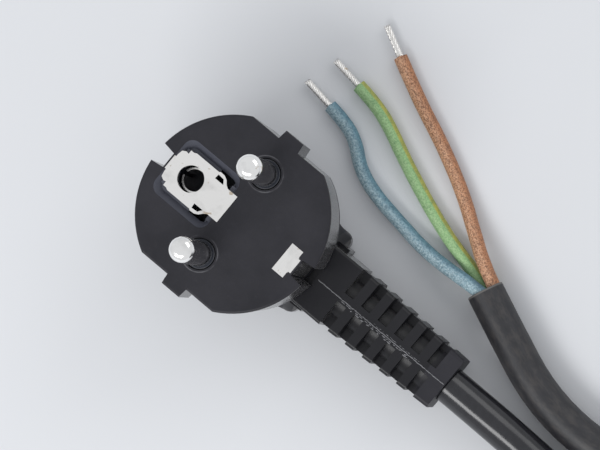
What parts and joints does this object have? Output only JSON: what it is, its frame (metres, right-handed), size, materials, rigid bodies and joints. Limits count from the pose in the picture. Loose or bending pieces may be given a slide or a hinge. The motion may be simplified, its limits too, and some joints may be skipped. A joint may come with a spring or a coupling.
{
  "type": "power cord",
  "caption": "Angled earthed mains plug, pins up, with a tapered ribbed strain relief, a coiled black lead and its stripped end.",
  "frame": {"origin": "under the middle of the pin face, on the surface that the plug's back rests on", "axes": "+Z the way the pins point, +X the way the lead leaves the plug, +Y from the earth socket's plane towards the line pin"},
  "size_m": [0.2025, 0.0864, 0.051],
  "materials": {
    "body_moulding": "matte soft moulding compound",
    "carrier_moulding": "matte glass-filled insert",
    "plated_pin": "nickel-plated, lightly worn",
    "plated_strip": "nickel-plated pressed strip",
    "sheath": "satin black cable sheath",
    "brown_insulation": "dusted brown insulation",
    "blue_insulation": "dusted blue insulation",
    "green_yellow_insulation": "green insulation with a yellow stripe",
    "tinned_strands": "twisted tinned strands",
    "tie_band": "matte black band"
  },
  "bodies": {
    "root": {"moulded_body": "body_moulding", "contact_carrier": "carrier_moulding", "line_pin": "plated_pin", "neutral_pin": "plated_pin", "earth_strip": "plated_strip", "earth_socket": "plated_strip", "line_core_inside": "brown_insulation", "neutral_core_inside": "blue_insulation", "earth_core_inside": "green_yellow_insulation", "line_strands_inside": "tinned_strands", "neutral_strands_inside": "tinned_strands", "earth_strands_inside": "tinned_strands", "sheath_in_relief": "sheath", "cord_plug_side": "sheath", "cord_coil": "sheath", "cord_free_side": "sheath", "coil_tie": "tie_band", "brown_core": "brown_insulation", "green_yellow_core": "green_yellow_insulation", "blue_core": "blue_insulation", "brown_bare_end": "tinned_strands", "green_yellow_bare_end": "tinned_strands", "blue_bare_end": "tinned_strands"}
  },
  "joints": []
}
